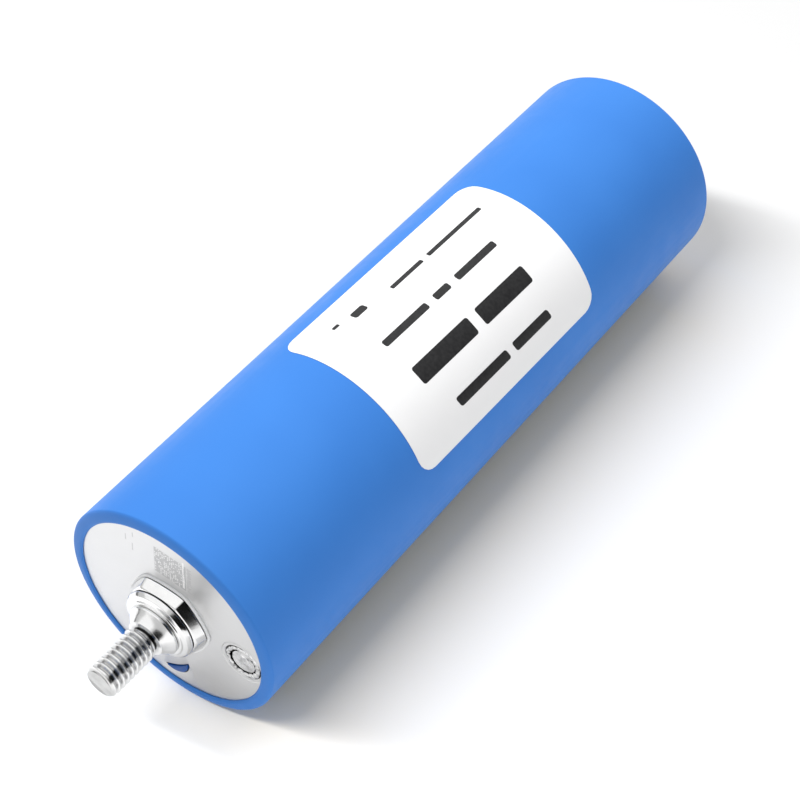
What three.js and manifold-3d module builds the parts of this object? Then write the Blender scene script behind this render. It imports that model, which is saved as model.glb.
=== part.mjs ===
// A cylindrical lithium iron phosphate cell of the 40135 size, with one M6 stud terminal.
// Millimetres, +Z up. The cell lies on its side along Y, with its stud towards -Y, on the plane z = 0.
// Every piece is drawn about the cell's own axis, from its plain end at 0 to its terminal end,
// and the finished cell is then laid down in one turn.
import * as THREE from 'three';
import { mergeVertices } from 'three/addons/utils/BufferGeometryUtils.js';
import Module from 'manifold-3d';

const wasm = await Module();
wasm.setup();

// Driving dimensions
const cellDiameter = 40; // over the shrink sleeve
const cellLength = 131.3; // from one folded end of the sleeve to the other
const studDiameter = 6; // M6
const studPitch = 1;
const studReach = 15.6; // from the sleeve's folded end to the stud's tip
const blockFlats = 14.6; // across the flats of the hexagonal terminal block

// Walls and gaps
const sleeveWall = 0.3;
const canWall = 0.8;
const lidThickness = 2;
const fit = 0.1; // between pieces that nest in each other
const seat = 0.05; // between pieces that lie on each other
const roundSides = 56; // sides of a large round
const smallSides = 24; // sides of a small round

// Places along the axis
const rim = cellLength;
const lidTop = rim - 0.4;
const lidBottom = lidTop - lidThickness;
const canFloorBottom = 0.4;
const canFloorTop = canFloorBottom + 1.5;
const blockBottom = rim;
const blockTop = blockBottom + 1.9;
const washerTop = blockTop + 1.4;
const studTip = rim + studReach;

// Places across the axis
const sleeveRadius = cellDiameter / 2;
const sleeveMouth = 17.7;
const canRadius = sleeveRadius - sleeveWall - fit;
const canBore = canRadius - canWall;
const port = new THREE.Vector2(14.1, -1.25); // centre of the electrolyte filling port
const labelDirection = THREE.MathUtils.degToRad(68.35); // from +X, seen from the terminal end

const cell = new THREE.Group();

// Adds one piece of the cell, with its finish.
function addPiece(name, geometry, [color, roughness, metalness]) {
  const material = new THREE.MeshStandardMaterial({ color, roughness, metalness });
  const mesh = new THREE.Mesh(geometry, material);
  mesh.name = name;
  cell.add(mesh);
}

// A round piece from its half section, given as [radius, height] points.
function turned(profile, sides = roundSides) {
  const points = profile.map(([radius, height]) => new THREE.Vector2(radius, height));
  const geometry = new THREE.LatheGeometry(points, sides, Math.PI / sides);
  return geometry.rotateX(Math.PI / 2);
}

// A plain disc or rod.
function disc(radius, bottom, top, sides) {
  return turned([[0, bottom], [radius, bottom], [radius, top], [0, top]], sides);
}

// A plain ring or tube.
function ring(inner, outer, bottom, top, sides) {
  const profile = [[inner, bottom], [outer, bottom], [outer, top], [inner, top], [inner, bottom]];
  return turned(profile, sides);
}

// A flat outline raised from one height to another, with its edges rounded if an edge radius is given.
function raised(shape, bottom, top, edge = 0) {
  const geometry = new THREE.ExtrudeGeometry(shape, {
    depth: top - bottom - 2 * edge,
    bevelEnabled: edge > 0,
    bevelThickness: edge,
    bevelSize: edge,
    bevelOffset: -edge,
    bevelSegments: 3,
    curveSegments: 6,
  });
  return geometry.translate(0, 0, bottom + edge);
}

function toSolid(geometry) {
  const bare = geometry.clone();
  bare.deleteAttribute('normal');
  bare.deleteAttribute('uv');
  const merged = mergeVertices(bare, 1e-4);
  return new wasm.Manifold(new wasm.Mesh({
    numProp: 3,
    vertProperties: new Float32Array(merged.attributes.position.array),
    triVerts: new Uint32Array(merged.index.array),
  }));
}

function fromSolid(solid) {
  const mesh = solid.getMesh();
  const geometry = new THREE.BufferGeometry();
  geometry.setAttribute('position', new THREE.BufferAttribute(mesh.vertProperties, 3));
  geometry.setIndex(new THREE.BufferAttribute(mesh.triVerts, 1));
  return geometry;
}

// Joins the pieces in joined to the first geometry, then cuts the pieces in cuts from it.
function shaped(geometry, cuts, joined = []) {
  let solid = toSolid(geometry);
  for (const extra of joined) solid = solid.add(toSolid(extra));
  for (const cut of cuts) solid = solid.subtract(toSolid(cut));
  return fromSolid(solid);
}

// Points on a quarter of an ellipse, from its lowest or widest end to the other.
function quarter(centre, radii, from, to, steps) {
  return Array.from({ length: steps + 1 }, (_, i) => {
    const angle = THREE.MathUtils.degToRad(from + ((to - from) * i) / steps);
    return [centre[0] + radii[0] * Math.cos(angle), centre[1] + radii[1] * Math.sin(angle)];
  });
}

// The heat-shrink sleeve: a tube whose ends are drawn in over the can's edges.
function shrinkSleeve() {
  const lowRound = 0.8;
  const topDrop = 0.7;
  const topReach = sleeveRadius - sleeveMouth;
  const inner = sleeveRadius - sleeveWall;
  const outside = [
    [sleeveMouth, 0],
    ...quarter([sleeveRadius - lowRound, lowRound], [lowRound, lowRound], -90, 0, 3),
    ...quarter([sleeveMouth, rim - topDrop], [topReach, topDrop], 0, 90, 4),
  ];
  const innerRound = lowRound - sleeveWall;
  const inside = [
    ...quarter([sleeveMouth, rim - topDrop - sleeveWall], [topReach - sleeveWall, topDrop], 90, 0, 3),
    ...quarter([inner - innerRound, lowRound], [innerRound, innerRound], 0, -90, 2),
    [sleeveMouth, sleeveWall],
  ];
  return turned([...outside, ...inside, outside[0]]);
}

// The printed label: a sheet with rounded corners that follows the sleeve.
function label() {
  const bottom = 39.8;
  const top = 90.3;
  const halfAngle = THREE.MathUtils.degToRad(50.35);
  const skew = THREE.MathUtils.degToRad(-1.2); // it was stuck on a little askew
  const cornerRadius = 3;
  const thickness = 0.1;
  const halfWidth = sleeveRadius * Math.sin(halfAngle);
  const cornerAcross = cornerRadius * Math.cos(halfAngle * 0.9);
  const x = halfWidth - cornerAcross;
  const low = bottom + cornerRadius;
  const high = top - cornerRadius;
  const outline = new THREE.Shape();
  outline.absellipse(x, low, cornerAcross, cornerRadius, -Math.PI / 2, 0);
  outline.absellipse(x, high, cornerAcross, cornerRadius, 0, Math.PI / 2);
  outline.absellipse(-x, high, cornerAcross, cornerRadius, Math.PI / 2, Math.PI);
  outline.absellipse(-x, low, cornerAcross, cornerRadius, Math.PI, Math.PI * 1.5);
  const middle = (bottom + top) / 2;
  const window = raised(outline, 0, cellDiameter)
    .translate(0, -middle, 0)
    .rotateZ(skew)
    .translate(0, middle, 0)
    .rotateX(Math.PI / 2)
    .rotateZ(labelDirection + Math.PI / 2);
  const inner = sleeveRadius + seat;
  const skin = ring(inner, inner + thickness, bottom - 2, top + 2);
  return fromSolid(toSolid(skin).intersect(toSolid(window)));
}

// The drawn aluminium can, with a ring scored in its floor as a pressure relief.
function can() {
  const edgeRound = 0.9;
  const scoreRadius = 9;
  const scoreHalfWidth = 0.4;
  const scoreDepth = 0.5;
  const mouth = lidTop - 0.15;
  const mouthBevel = [0.3, 0.4]; // across and along, under the sleeve's fold
  const shoulder = mouth - mouthBevel[1] + 0.05;
  return turned([
    [0, canFloorBottom],
    [scoreRadius - scoreHalfWidth, canFloorBottom],
    [scoreRadius, canFloorBottom + scoreDepth],
    [scoreRadius + scoreHalfWidth, canFloorBottom],
    ...quarter([canRadius - edgeRound, canFloorBottom + edgeRound], [edgeRound, edgeRound], -90, 0, 3),
    [canRadius, shoulder - mouthBevel[1]],
    [canRadius - mouthBevel[0], shoulder],
    [canBore + fit, mouth],
    [canBore, mouth],
    [canBore, canFloorTop],
    [0, canFloorTop],
  ]);
}

const rivetHole = 4.2;
const rivetRadius = 3;
const portRecess = 2.75;
const portRecessDepth = 0.8;
const fillHole = 1.25;
const portWeldWidth = 0.65;
const markerRadius = 3.4;
const markerCentre = new THREE.Vector2(-1.4, -12.4);
const markerTurn = THREE.MathUtils.degToRad(-54); // the way its round side faces
const markerChord = 2; // from the circle's centre to its flat side
const markerGap = 0.15; // between the marker and its pocket
const markerPocketDepth = 0.6;

// The blue marker's outline: the part of a circle that a chord cuts off, grown by a margin.
function markerOutline(margin) {
  const outline = new THREE.Shape();
  const radius = markerRadius + margin;
  const halfAngle = Math.acos((markerChord - margin) / radius);
  outline.absarc(markerCentre.x, markerCentre.y, radius, markerTurn - halfAngle, markerTurn + halfAngle);
  return outline;
}

// The lid that closes the can: holes for the rivet and the filling port, and the marker's pocket.
function topLid() {
  const weldBead = ring(portRecess, portRecess + portWeldWidth, lidTop - 0.2, lidTop + 0.15, smallSides);
  const recess = disc(portRecess, lidTop - portRecessDepth, rim, smallSides);
  const hole = disc(fillHole, lidBottom - 1, rim, smallSides);
  for (const geometry of [weldBead, recess, hole]) geometry.translate(port.x, port.y, 0);
  const pocket = raised(markerOutline(markerGap), lidTop - markerPocketDepth, rim);
  return shaped(
    disc(canBore - fit, lidBottom, lidTop),
    [disc(rivetHole, lidBottom - 1, rim, smallSides), recess, hole, pocket],
    [weldBead],
  );
}

// The disc that closes the filling port, with a bevelled edge, a little below the lid.
function fillPortCap() {
  const radius = portRecess - 0.3;
  const bottom = lidTop - portRecessDepth + seat;
  const top = lidTop - 0.1;
  const bevel = [0.2, 0.15]; // across and along
  const cap = turned([
    [0, bottom],
    [radius, bottom],
    [radius, top - bevel[1]],
    [radius - bevel[0], top],
    [0, top],
  ], smallSides);
  return cap.translate(port.x, port.y, 0);
}

// The rubber stopper in the filling hole, under the cap.
function fillPortStopper() {
  const bottom = lidBottom + 0.1;
  const height = 0.9;
  return disc(fillHole - fit, bottom, bottom + height, smallSides).translate(port.x, port.y, 0);
}

// The blue marker in its pocket, standing a little above the lid.
function polarityMarker() {
  const standsProud = 0.2;
  return raised(markerOutline(0), lidTop - markerPocketDepth + seat, lidTop + standsProud);
}

// A hexagon whose corners are cut to a rounded circle, from its flats and the radius to its corners.
function hexagon(flats, cornerRadius) {
  const cornerHalf = Math.PI / 6 - Math.acos(flats / 2 / cornerRadius);
  const outline = [];
  for (let side = 0; side < 6; side++) {
    for (const turn of [-cornerHalf, 0, cornerHalf]) {
      const angle = (side * Math.PI) / 3 + turn;
      outline.push(new THREE.Vector2(Math.cos(angle), Math.sin(angle)).multiplyScalar(cornerRadius));
    }
  }
  return new THREE.Shape(outline);
}

// The hexagonal terminal block, with a soft upper edge, bored for the rivet and the stud.
const blockCorner = 7.9; // from the axis to a rounded corner
function terminalBlock() {
  const edge = 0.8;
  const past = 1; // how far the cutters reach past the block
  const bore = disc(rivetRadius + fit, blockBottom - past, blockTop + past, smallSides);
  const below = disc(blockCorner + past, blockBottom - past, blockBottom, smallSides);
  const body = raised(hexagon(blockFlats, blockCorner), blockBottom - edge, blockTop, edge);
  return shaped(body, [bore, below]);
}

// The plastic gasket between the lid and the block, which shows as a thin border round the block.
function terminalInsulator() {
  const border = 0.3;
  const edge = 0.1;
  const clearance = 0.2; // outside the lid seal
  const bore = disc(rivetRadius + fit + clearance, lidTop - 1, blockBottom + 1, smallSides);
  const outline = hexagon(blockFlats + 2 * border, blockCorner + border);
  return shaped(raised(outline, lidTop + seat, blockBottom - seat, edge), [bore]);
}

// The thick washer under the stud's shoulder, with a sloped side and a wide bevel above it.
function terminalWasher() {
  const bottom = blockTop + seat;
  const bore = studDiameter / 2 + fit;
  const outer = 6.5;
  const bevelFoot = [6.1, washerTop - 0.5];
  const seatRadius = 5.3;
  const foot = 0.15; // its upright side, below the slope
  return turned([
    [bore, bottom],
    [outer, bottom],
    [outer, bottom + foot],
    bevelFoot,
    [seatRadius, washerTop],
    [bore, washerTop],
    [bore, bottom],
  ], smallSides);
}

// The stud: a shank in the block, a tapered shoulder on the washer, an undercut and the thread.
function terminalStud() {
  const radius = studDiameter / 2;
  const threadDepth = 0.55;
  const root = radius - threadDepth;
  const shankBottom = blockBottom + 0.9;
  const shoulderRadius = 4.7;
  const shoulderEdge = 0.5; // its straight side, before the taper
  const shoulderBottom = washerTop + seat;
  const shoulderTop = rim + 5.4;
  const taperTop = radius + 0.25;
  const threadStart = shoulderTop + 0.6;
  const crest = [0.42, 0.58]; // where a thread's flat crest starts and ends, in pitches
  const turns = Math.floor((studTip - threadStart) / studPitch);
  const thread = [];
  for (let turn = 0; turn < turns; turn++) {
    const foot = threadStart + turn * studPitch;
    thread.push([root, foot]);
    thread.push([radius, foot + studPitch * crest[0]]);
    thread.push([radius, foot + studPitch * crest[1]]);
  }
  return turned([
    [0, shankBottom],
    [radius, shankBottom],
    [radius, shoulderBottom],
    [shoulderRadius, shoulderBottom],
    [shoulderRadius, shoulderBottom + shoulderEdge],
    [taperTop, shoulderTop],
    [root, shoulderTop],
    ...thread,
    [root, studTip],
    [0, studTip],
  ], smallSides);
}

// The rivet that carries the current through the lid.
function terminalRivet() {
  const headRadius = 5;
  const headBottom = lidBottom - 2;
  const headTop = headBottom + 0.6;
  const shankTop = blockBottom + 0.8;
  return turned([
    [0, headBottom],
    [headRadius, headBottom],
    [headRadius, headTop],
    [rivetRadius, headTop],
    [rivetRadius, shankTop],
    [0, shankTop],
  ], smallSides);
}

// The rubber seal round the rivet, in the lid's hole.
function lidSeal() {
  return ring(rivetRadius + fit, rivetHole - fit, lidBottom, lidTop - seat, smallSides);
}

// The plastic disc that keeps the roll off the lid.
function lidInsulator() {
  const top = lidBottom - 0.2;
  const thickness = 1;
  return ring(rivetRadius + fit, canBore - 0.6, top - thickness, top);
}

// The strip of a wound layer: a spiral band from the core to the outside of the roll.
const rollCore = 3.3;
const rollPitch = 3.7;
const rollTurns = 3;
function woundLayer(offset, thickness, bottom, top) {
  const stepsPerTurn = 20;
  const steps = stepsPerTurn * rollTurns;
  const inner = [];
  const outer = [];
  for (let i = 0; i <= steps; i++) {
    const angle = (i / stepsPerTurn) * Math.PI * 2;
    const radius = rollCore + offset + (rollPitch * i) / stepsPerTurn;
    const direction = new THREE.Vector2(Math.cos(angle), Math.sin(angle));
    inner.push(direction.clone().multiplyScalar(radius));
    outer.push(direction.multiplyScalar(radius + thickness));
  }
  return raised(new THREE.Shape([...outer, ...inner.reverse()]), bottom, top);
}

// The roll stands between the two collector plates.
const rollBottom = 6;
const rollTop = 124;
const rollOverhang = 2; // each electrode's bare foil reaches this far past the separators
const plateRadius = 15;
const plateThickness = 0.8;
const plateGap = 0.6; // between the roll and the plate above it
const plateDrop = 2; // from the roll's foot to the bottom of the plate below it

// A slotted plate that gathers one electrode's bare foil.
function collectorPlate(bottom) {
  const top = bottom + plateThickness;
  const slot = new THREE.Shape();
  slot.absellipse(plateRadius * 0.6, 0, plateRadius * 0.22, 1.2, 0, Math.PI * 2);
  const slots = [0, 1, 2, 3].map((i) => raised(slot, bottom - 1, top + 1).rotateZ((i * Math.PI) / 2));
  return shaped(disc(plateRadius, bottom, top, smallSides), slots);
}

// The plastic ring that keeps the roll off the can's floor, round the collector plate.
function bottomInsulator() {
  return ring(plateRadius + 1, canBore - 0.5, canFloorTop + 0.3, rollBottom - 0.6);
}

// The tube that the roll is wound on.
function coreTube() {
  return ring(2, rollCore - 0.4, rollBottom - 0.5, rollTop, smallSides);
}

// The tape round the finished roll.
function rollWrap() {
  const inner = 18;
  const thickness = 0.3;
  return ring(inner, inner + thickness, rollBottom + 1, rollTop - 1);
}

// The four wound layers lie one outside the other; each offset is counted from the core.
const separatorThickness = 0.3;
function separator(offset) {
  return woundLayer(offset, separatorThickness, rollBottom + rollOverhang, rollTop - rollOverhang);
}

function cathodeSheet() {
  return woundLayer(0, 1, rollBottom, rollTop - 2 * rollOverhang);
}

function anodeSheet() {
  return woundLayer(1.9, 0.8, rollBottom + 2 * rollOverhang, rollTop);
}

// Finishes: colour, roughness and metalness
const blueFilm = [0x3f86e0, 0.45, 0];
const whitePaper = [0xf2f3f5, 0.5, 0];
const satinAluminium = [0xc9cbce, 0.35, 1];
const lidAluminium = [0xd6d7d9, 0.35, 1];
const nickel = [0xdcdee0, 0.15, 1];
const copper = [0xb87345, 0.3, 1];
const bluePlastic = [0x2f5ea6, 0.4, 0];
const whitePlastic = [0xe9ebee, 0.55, 0];
const blackRubber = [0x2a2a2c, 0.8, 0];
const amberTape = [0xd9c07a, 0.4, 0];
const cathodeCoating = [0x3b3d40, 0.8, 0.1];
const anodeCoating = [0x4a3a33, 0.7, 0.2];
const whiteFilm = [0xf6f6f4, 0.7, 0];

addPiece('shrink_sleeve', shrinkSleeve(), blueFilm);
addPiece('label', label(), whitePaper);
addPiece('can', can(), satinAluminium);
addPiece('top_lid', topLid(), lidAluminium);
addPiece('polarity_marker', polarityMarker(), bluePlastic);
addPiece('fill_port_cap', fillPortCap(), lidAluminium);
addPiece('fill_port_stopper', fillPortStopper(), blackRubber);
addPiece('terminal_insulator', terminalInsulator(), whitePlastic);
addPiece('lid_seal', lidSeal(), blackRubber);
addPiece('terminal_block', terminalBlock(), nickel);
addPiece('terminal_washer', terminalWasher(), nickel);
addPiece('terminal_stud', terminalStud(), nickel);
addPiece('terminal_rivet', terminalRivet(), copper);
addPiece('lid_insulator', lidInsulator(), whitePlastic);
addPiece('negative_collector', collectorPlate(rollTop + plateGap), copper);
addPiece('positive_collector', collectorPlate(rollBottom - plateDrop), satinAluminium);
addPiece('bottom_insulator', bottomInsulator(), whitePlastic);
addPiece('core_tube', coreTube(), whitePlastic);
addPiece('roll_wrap', rollWrap(), amberTape);
addPiece('cathode_sheet', cathodeSheet(), cathodeCoating);
addPiece('inner_separator', separator(1.3), whiteFilm);
addPiece('anode_sheet', anodeSheet(), anodeCoating);
addPiece('outer_separator', separator(3), whiteFilm);

// The cell is laid on its side: its stud to the front, its middle over the origin, its sleeve on z = 0.
cell.rotation.x = Math.PI / 2;
cell.position.set(0, (cellLength + studReach) / 2, sleeveRadius * Math.cos(Math.PI / roundSides));

const group = new THREE.Group();
group.add(cell);
export default group;
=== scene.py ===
import math
import random

import bmesh
import bpy
from mathutils import Matrix, Vector


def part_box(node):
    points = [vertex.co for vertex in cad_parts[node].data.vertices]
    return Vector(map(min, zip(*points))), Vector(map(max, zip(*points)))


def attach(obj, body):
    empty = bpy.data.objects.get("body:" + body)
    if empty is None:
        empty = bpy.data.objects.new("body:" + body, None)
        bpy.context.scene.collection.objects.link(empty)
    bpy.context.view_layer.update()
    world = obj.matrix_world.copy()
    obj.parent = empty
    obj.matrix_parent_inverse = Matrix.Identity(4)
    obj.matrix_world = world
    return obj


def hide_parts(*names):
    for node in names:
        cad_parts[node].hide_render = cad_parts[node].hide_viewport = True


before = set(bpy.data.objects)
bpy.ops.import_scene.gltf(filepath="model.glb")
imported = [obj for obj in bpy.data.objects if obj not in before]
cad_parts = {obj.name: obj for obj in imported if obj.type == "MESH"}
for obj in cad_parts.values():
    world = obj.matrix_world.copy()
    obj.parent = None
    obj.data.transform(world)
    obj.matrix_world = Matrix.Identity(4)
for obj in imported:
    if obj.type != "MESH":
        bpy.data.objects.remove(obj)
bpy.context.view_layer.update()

MM = 0.001

# The cell's own axis runs along -Y. Heights are measured along it, from the plain end to the stud.
sleeve_low, sleeve_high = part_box("shrink_sleeve")
BODY_RADIUS = (sleeve_high.x - sleeve_low.x) / 2
BODY_LENGTH = sleeve_high.y - sleeve_low.y
AXIS_X = (sleeve_high.x + sleeve_low.x) / 2
AXIS_Z = sleeve_low.z + BODY_RADIUS
PLAIN_END = sleeve_high.y
RIM = BODY_LENGTH
CAN_RADIUS = BODY_RADIUS - 0.38 * MM
CAN_WALL = 0.8 * MM
HUB = 0.01 * MM  # the radius of the small facet that closes a solid round piece on its axis


def height_of(y):
    """The height along the cell's axis of a place along Y."""
    return PLAIN_END - y


def across(x, y, height):
    """A point from its place across the end face, right and up, and its height."""
    return Vector((AXIS_X + x, PLAIN_END - height, AXIS_Z + y))


def at(radius, angle, height, centre=(0, 0)):
    """A point from its distance to the axis, its angle (0 is +X, a quarter turn is up) and its height.
    centre moves the axis across the end face."""
    return across(centre[0] + radius * math.cos(angle), centre[1] + radius * math.sin(angle), height)


# ---------------------------------------------------------------- mesh building

def make_object(name, points, faces, material, smooth_angle=35):
    """A smooth-shaded mesh whose edges stay sharp above an angle in degrees."""
    mesh = bpy.data.meshes.new(name)
    mesh.from_pydata([tuple(p) for p in points], [], faces)
    mesh.validate()
    bm = bmesh.new()
    bm.from_mesh(mesh)
    bmesh.ops.recalc_face_normals(bm, faces=bm.faces)
    bm.to_mesh(mesh)
    bm.free()
    obj = bpy.data.objects.new(name, mesh)
    bpy.context.scene.collection.objects.link(obj)
    mesh.materials.append(material)
    mesh.shade_smooth()
    mesh.set_sharp_from_angle(angle=math.radians(smooth_angle))
    return obj


def loft(name, rings, material, closed=True, smooth_angle=35):
    """Joins rings of equal point count. Closed joins the last ring to the first, else both are capped."""
    count = len(rings[0])
    points = [p for ring in rings for p in ring]
    faces = []
    last = len(rings) if closed else len(rings) - 1
    for r in range(last):
        a = r * count
        b = ((r + 1) % len(rings)) * count
        for i in range(count):
            j = (i + 1) % count
            faces.append((a + i, a + j, b + j, b + i))
    if not closed:
        faces.append(tuple(range(count)))
        faces.append(tuple(range((len(rings) - 1) * count, len(rings) * count)))
    return make_object(name, points, faces, material, smooth_angle)


def revolve(name, profile, material, closed=True, sides=192, wobble=None, centre=(0, 0), smooth_angle=35):
    """A round piece from (radius, height) points. wobble(angle, radius, height) moves each point."""
    rings = []
    for radius, height in profile:
        ring = []
        for i in range(sides):
            angle = 2 * math.pi * i / sides
            r, h = wobble(angle, radius, height) if wobble else (radius, height)
            ring.append(at(r, angle, h, centre))
        rings.append(ring)
    return loft(name, rings, material, closed, smooth_angle)


def arc(centre, radii, start, end, steps):
    """Points on part of an ellipse, in degrees."""
    out = []
    for i in range(steps + 1):
        angle = math.radians(start + (end - start) * i / steps)
        out.append((centre[0] + radii[0] * math.cos(angle), centre[1] + radii[1] * math.sin(angle)))
    return out


def cut(target, cutters):
    """Cuts solids out of a piece and removes them."""
    for cutter in cutters:
        modifier = target.modifiers.new("cut", "BOOLEAN")
        modifier.operation = "DIFFERENCE"
        modifier.solver = "EXACT"
        modifier.object = cutter
        with bpy.context.temp_override(object=target, active_object=target):
            bpy.ops.object.modifier_apply(modifier=modifier.name)
        bpy.data.objects.remove(cutter, do_unlink=True)


def finish_piece(obj, slot, *nodes):
    """Parents a piece to the root body and hides the CAD nodes that it replaces. slot is not used."""
    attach(obj, "root")
    if nodes:
        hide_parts(*nodes)


# ---------------------------------------------------------------- materials

class Nodes:
    """Builds one procedural material in object coordinates, in metres."""

    def __init__(self, name):
        self.material = bpy.data.materials.new(name)
        self.material.use_nodes = True
        self.tree = self.material.node_tree
        self.shader = self.tree.nodes["Principled BSDF"]
        self.place = self.tree.nodes.new("ShaderNodeTexCoord").outputs["Object"]

    def set(self, **values):
        """Sets the shader's own sockets, such as Specular_IOR_Level=0.3."""
        for key, value in values.items():
            self.shader.inputs[key.replace("_", " ")].default_value = value

    def link(self, source, target):
        self.tree.links.new(source, target)

    def stretched(self, scale):
        node = self.tree.nodes.new("ShaderNodeMapping")
        node.inputs["Scale"].default_value = scale
        self.link(self.place, node.inputs["Vector"])
        return node.outputs["Vector"]

    def noise(self, scale, detail=3, roughness=0.5, stretch=None):
        """Noise with about scale features to a metre, or stretch of them along X, Y and Z."""
        node = self.tree.nodes.new("ShaderNodeTexNoise")
        node.inputs["Scale"].default_value = scale
        node.inputs["Detail"].default_value = detail
        node.inputs["Roughness"].default_value = roughness
        self.link(self.stretched(stretch) if stretch else self.place, node.inputs["Vector"])
        return node.outputs["Fac"]

    def ramp(self, factor, stops):
        """Greys along a ramp, from stops of (place, grey)."""
        node = self.tree.nodes.new("ShaderNodeValToRGB")
        elements = node.color_ramp.elements
        while len(elements) < len(stops):
            elements.new(0.5)
        for element, (place, grey) in zip(elements, stops):
            element.position = place
            element.color = (grey, grey, grey, 1)
        self.link(factor, node.inputs["Fac"])
        return node.outputs["Color"]

    def range(self, factor, low, high, from_low=0.3, from_high=0.7):
        """Stretches from_low to from_high, which is most of a noise's own range, to low to high."""
        node = self.tree.nodes.new("ShaderNodeMapRange")
        node.inputs["From Min"].default_value = from_low
        node.inputs["From Max"].default_value = from_high
        node.inputs["To Min"].default_value = low
        node.inputs["To Max"].default_value = high
        self.link(factor, node.inputs["Value"])
        return node.outputs["Result"]

    def feed(self, value, socket):
        """Links another node's output to a socket, or sets the socket to a number or a colour."""
        if isinstance(value, bpy.types.NodeSocket):
            self.link(value, socket)
        elif isinstance(value, tuple):
            socket.default_value = (*value, 1)
        else:
            socket.default_value = value

    def mix(self, factor, a, b):
        """From colour a at 0 to b at 1. The node's colours are its inputs 6 and 7 and its output 2."""
        node = self.tree.nodes.new("ShaderNodeMix")
        node.data_type = "RGBA"
        for socket, value in ((0, factor), (6, a), (7, b)):
            self.feed(value, node.inputs[socket])
        return node.outputs[2]

    def math(self, operation, a, b=0.0):
        node = self.tree.nodes.new("ShaderNodeMath")
        node.operation = operation
        self.feed(a, node.inputs[0])
        self.feed(b, node.inputs[1])
        return node.outputs[0]

    def coordinate(self, letter):
        """The place along X, Y or Z."""
        split = self.tree.nodes.new("ShaderNodeSeparateXYZ")
        self.link(self.place, split.inputs[0])
        return split.outputs[letter]

    def deeper_than(self, height, start, full):
        """0 above a height along the cell's axis and 1 well below it, from start to full below it."""
        level = PLAIN_END - height
        return self.range(self.coordinate("Y"), 0, 1, level + start, level + full)

    def along(self, direction):
        """The place along any direction."""
        node = self.tree.nodes.new("ShaderNodeVectorMath")
        node.operation = "DOT_PRODUCT"
        self.link(self.place, node.inputs[0])
        node.inputs[1].default_value = direction
        return node.outputs["Value"]

    def lines(self, distance, scale):
        """Noise that changes only with a distance, with about scale features to a metre."""
        node = self.tree.nodes.new("ShaderNodeTexNoise")
        node.noise_dimensions = "1D"
        node.inputs["Scale"].default_value = scale
        self.link(distance, node.inputs["W"])
        return node.outputs["Fac"]

    def from_axis(self):
        """The distance to the cell's axis."""
        x = self.math("SUBTRACT", self.coordinate("X"), AXIS_X)
        z = self.math("SUBTRACT", self.coordinate("Z"), AXIS_Z)
        squares = self.math("ADD", self.math("MULTIPLY", x, x), self.math("MULTIPLY", z, z))
        return self.math("SQRT", squares)

    def colour(self, output):
        self.link(output, self.shader.inputs["Base Color"])

    def rough(self, output):
        self.link(output, self.shader.inputs["Roughness"])

    def bump(self, height, strength, distance):
        """Adds a bump on top of the ones before it. distance is in metres."""
        node = self.tree.nodes.new("ShaderNodeBump")
        node.inputs["Strength"].default_value = strength
        node.inputs["Distance"].default_value = distance
        self.link(height, node.inputs["Height"])
        normal = self.shader.inputs["Normal"]
        if normal.links:
            self.link(normal.links[0].from_socket, node.inputs["Normal"])
        self.link(node.outputs["Normal"], normal)


def sleeve_film():
    """Blue heat-shrink film: satin, with faint draw lines along the cell and rubbed patches."""
    m = Nodes("sleeve_film")
    m.set(Specular_IOR_Level=0.13)
    cloud = m.noise(45, 2)
    m.colour(m.mix(m.range(cloud, 0, 1), (0.043, 0.197, 0.605), (0.049, 0.215, 0.640)))
    draw = m.noise(1, 3, stretch=(900, 14, 900))
    rubbed = m.noise(260, 4, 0.6)
    m.rough(m.math("ADD", m.range(rubbed, 0.40, 0.50), m.range(draw, -0.03, 0.03)))
    m.bump(draw, 0.25, 0.02 * MM)
    m.bump(m.noise(1500, 2), 0.2, 0.012 * MM)
    return m.material


def label_stock():
    """White coated label paper, with a fine fibre and slightly uneven gloss."""
    m = Nodes("label_stock")
    m.set(Specular_IOR_Level=0.3)
    m.colour(m.mix(m.range(m.noise(70, 3), 0, 1), (0.86, 0.86, 0.865), (0.88, 0.88, 0.885)))
    m.rough(m.range(m.noise(300, 3), 0.42, 0.52))
    m.bump(m.noise(2500, 3), 0.25, 0.01 * MM)
    return m.material


def label_ink():
    """Black print, with a slightly uneven film of ink."""
    m = Nodes("label_ink")
    m.set(Specular_IOR_Level=0.45)
    m.colour(m.mix(m.range(m.noise(1800, 2), 0, 1), (0.010, 0.010, 0.011), (0.022, 0.022, 0.023)))
    m.rough(m.range(m.noise(900, 2), 0.40, 0.52))
    m.bump(m.noise(3000, 2), 0.2, 0.005 * MM)
    return m.material


def lid_metal():
    """Rolled aluminium lid: satin, faintly lined one way, with soft smudges, and painted shade that
    darkens it below its top face, in its recesses and grooves.
    """
    m = Nodes("lid_metal")
    m.set(Metallic=1.0)
    lines = m.noise(1, 3, 0.6, stretch=(140, 900, 5200))
    smudge = m.noise(150, 3)
    unshaded = m.mix(m.range(smudge, 0, 1), (0.73, 0.73, 0.732), (0.77, 0.77, 0.772))
    # Painted shade: more than 0.08 mm below the top face, the lid fades to near black in its recesses and
    # grooves and down its edge.
    m.colour(m.mix(m.deeper_than(LID_TOP, 0.08 * MM, 0.14 * MM), unshaded, (0.06, 0.06, 0.06)))
    m.rough(m.math("ADD", m.range(smudge, 0.34, 0.44), m.range(lines, -0.03, 0.04)))
    m.bump(lines, 0.3, 0.006 * MM)
    return m.material


def can_metal():
    """Drawn aluminium, with fine rings from the press on its floor."""
    m = Nodes("can_metal")
    m.set(Metallic=1.0)
    rings = m.lines(m.from_axis(), 2600)
    smudge = m.noise(120, 4)
    m.colour(m.mix(m.range(smudge, 0, 1), (0.72, 0.72, 0.73), (0.80, 0.80, 0.81)))
    m.rough(m.math("ADD", m.range(smudge, 0.30, 0.42), m.range(rings, -0.04, 0.05)))
    m.bump(rings, 0.3, 0.008 * MM)
    return m.material


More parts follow.
